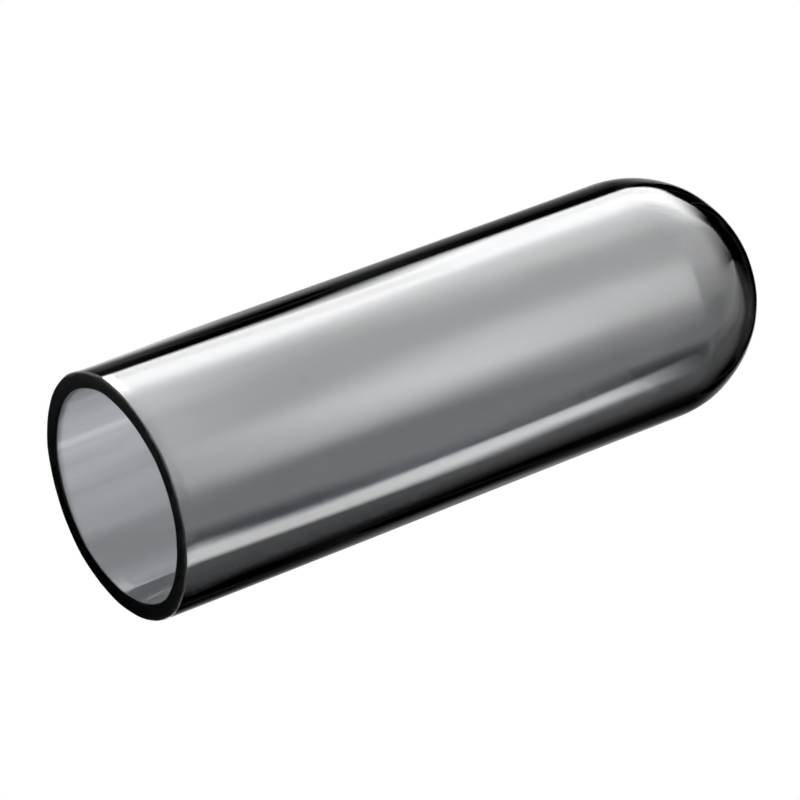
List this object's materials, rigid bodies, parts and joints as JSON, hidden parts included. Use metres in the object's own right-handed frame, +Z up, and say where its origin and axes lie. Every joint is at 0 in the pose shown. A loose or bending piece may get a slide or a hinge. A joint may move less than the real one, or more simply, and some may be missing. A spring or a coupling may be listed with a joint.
{
  "type": "closed-end glass tube",
  "caption": "Straight round glass tube with a square, fire-polished mouth at one end and a blown half-ball closure at the other.",
  "frame": {"origin": "centre of the mouth's flat rim, which the tube stands on", "axes": "+Z up along the tube's axis, from the open mouth to the crown of the closed end"},
  "size_m": [0.05, 0.05, 0.1475],
  "materials": {
    "glass": "clear grey-tinted glass with a fire-polished surface"
  },
  "bodies": {
    "root": {"glass_tube": "glass"}
  },
  "joints": []
}
